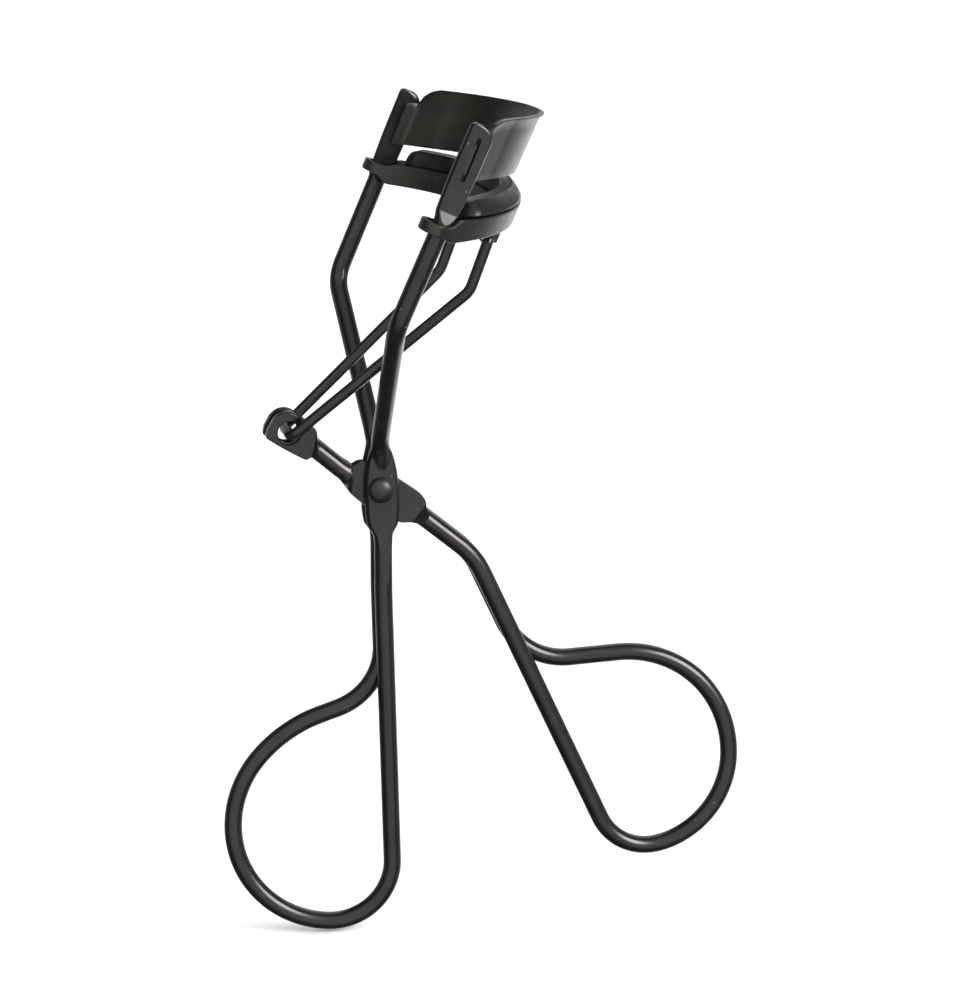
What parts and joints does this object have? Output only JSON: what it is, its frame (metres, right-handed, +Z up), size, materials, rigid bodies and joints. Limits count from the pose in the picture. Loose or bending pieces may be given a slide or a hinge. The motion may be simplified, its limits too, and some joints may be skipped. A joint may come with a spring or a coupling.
{
  "type": "eyelash curler",
  "caption": "Bent-wire eyelash curler: crossed wire handles with finger loops, a fixed upper jaw and a linked sliding lower jaw with a lash pad.",
  "frame": {"origin": "centre of the whole object's box", "axes": "+Z up, from the finger loops to the jaws; +X forward, the way the head leans and the lever's loop swings out; +Y across the jaws"},
  "size_m": [0.0716, 0.043, 0.1102],
  "materials": {
    "coated_wire": "semi-gloss black coating on steel wire",
    "coated_sheet": "satin black coating on pressed steel strip",
    "lash_rubber": "smooth moulded silicone"
  },
  "bodies": {
    "frame": {"frame_wire": "coated_wire", "upper_jaw": "coated_sheet", "pivot_rivet": "coated_wire"},
    "lever": {"lever_wire": "coated_wire"},
    "jaw": {"lower_jaw": "coated_sheet", "lash_pad": "lash_rubber"},
    "link": {"push_link": "coated_wire"}
  },
  "joints": [
    {"name": "lever_pivot", "type": "hinge", "parent": "frame", "child": "lever", "pos_m": [-0.01357, 0, 0.00566], "axis": [0, 1, 0], "range_deg": [-22, 0.5]},
    {"name": "jaw_slide", "type": "slide", "parent": "frame", "child": "jaw", "axis": [0.4083, 0, 0.9128], "range_m": [-0.0056, 0.0002]},
    {"name": "link_swing", "type": "hinge", "parent": "jaw", "child": "link", "pos_m": [0.00027, 0, 0.0391], "axis": [0, 1, 0], "range_deg": [-2, 2]}
  ],
  "couplings": [
    {"joint": "jaw_slide", "follows": "lever_pivot", "m_per_rad": 0.014302},
    {"joint": "link_swing", "follows": "lever_pivot", "ratio": -0.0409}
  ]
}
